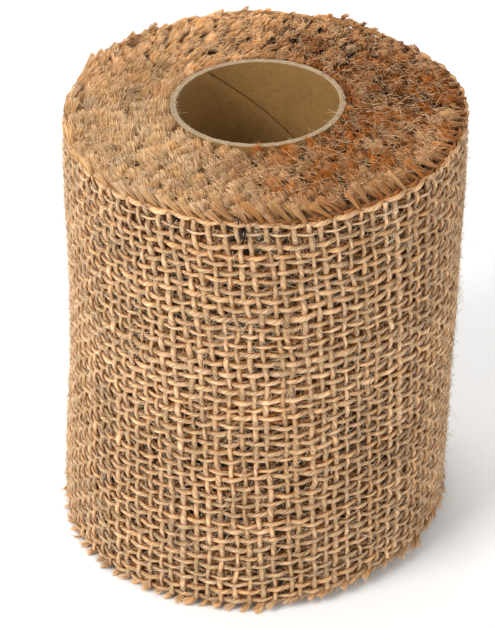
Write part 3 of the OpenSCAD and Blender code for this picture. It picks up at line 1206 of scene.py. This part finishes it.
# ---------------------------------------------------------------- ties to the frame
strip_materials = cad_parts["starting_adhesive_strip"].data.materials
strip_materials.clear()
strip_materials.append(adhesive_material())

for piece in roll_pieces + [rim_fuzz]:
    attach(piece, "roll")
for piece in (inner_ply, middle_ply, outer_ply):
    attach(piece, "roll")
    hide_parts(f"core_{piece.name}")
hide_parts("ribbon_inner_turns")
for piece in [top_bed, *inner_top]:
    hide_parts("inner_turns_top_fringe")
for piece in (bottom_bed, inner_bottom):
    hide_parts("inner_turns_bottom_fringe")
for piece in roll_pieces:
    if piece.name.startswith("outer_warp"):
        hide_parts("outer_turn_warp_yarns")
    if piece.name.startswith("outer_weft"):
        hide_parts("outer_turn_weft_yarns")

flap_pieces = [flap_warps, flap_yarns, flap_top, flap_bottom, flap_fuzz, flap_fray]
for piece in flap_pieces:
    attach(piece, "free_end")
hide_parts("free_end_warp_yarns")
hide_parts("free_end_weft_yarns")

fold_pieces = [fold_warps, fold_yarns, fold_top, fold_bottom]


for piece in fold_pieces:
    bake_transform(piece)

# ---------------------------------------------------------------- studio
def studio_floor():
    """A wide pale floor."""
    reach = 6.0
    corners = np.array([[-reach, -reach, 0], [reach, -reach, 0], [reach, reach, 0], [-reach, reach, 0]])
    new_mesh("floor", floor_material(), corners, [np.array([[0, 1, 2, 3]])])


def soft_light(name, place, size, power):
    """A square area light at a place, turned towards the middle of the roll."""
    data = bpy.data.lights.new(name, "AREA")
    data.size = size
    data.energy = power
    lamp = bpy.data.objects.new(name, data)
    lamp.location = place
    lamp.rotation_euler = (LIGHT_AIM - Vector(place)).to_track_quat("-Z", "Y").to_euler()
    bpy.context.scene.collection.objects.link(lamp)


def studio_world():
    """An even white surround."""
    world = bpy.data.worlds.new("studio")
    bpy.context.scene.world = world
    world.use_nodes = True
    background = world.node_tree.nodes["Background"]
    background.inputs["Color"].default_value = (1, 1, 1, 1)
    background.inputs["Strength"].default_value = 0.58


LIGHT_AIM = Vector((0, 0, 60 * MM))
CAMERA_UP = math.radians(33.94)
CAMERA_FAR = 0.680
CAMERA_PAN = math.radians(0.308)
CAMERA_TILT = math.radians(-0.242)
CAMERA_ROLL = math.radians(-1.28)
CAMERA_AIM = Vector((0, 0, 57 * MM))
CAMERA_LENS = 203.5
SENSOR = 36.0


def camera():
    """The camera: a little above the roll, looking down its front."""
    data = bpy.data.cameras.new("camera")
    data.sensor_fit = "HORIZONTAL"
    data.sensor_width = SENSOR
    data.lens = CAMERA_LENS
    data.clip_start = 0.01
    cam = bpy.data.objects.new("camera", data)
    back = Vector((0, -math.cos(CAMERA_UP), math.sin(CAMERA_UP)))
    cam.location = CAMERA_AIM + back * CAMERA_FAR
    look = (-back).to_track_quat("-Z", "Y").to_matrix().to_4x4()
    turned = Matrix.Rotation(CAMERA_PAN, 4, "Y") @ Matrix.Rotation(CAMERA_TILT, 4, "X")
    rolled = turned @ Matrix.Rotation(CAMERA_ROLL, 4, "Z")
    cam.matrix_world = Matrix.Translation(cam.location) @ look @ rolled
    bpy.context.scene.collection.objects.link(cam)
    bpy.context.scene.camera = cam


bpy.context.scene.view_settings.view_transform = "Standard"
studio_floor()
studio_world()
soft_light("key", (-0.68, -0.52, 0.74), 0.55, 10.3)
soft_light("fill", (0.6, -0.8, 0.5), 0.8, 3.4)
soft_light("back", (-0.2, 0.5, 1.0), 0.6, 4.8)
camera()
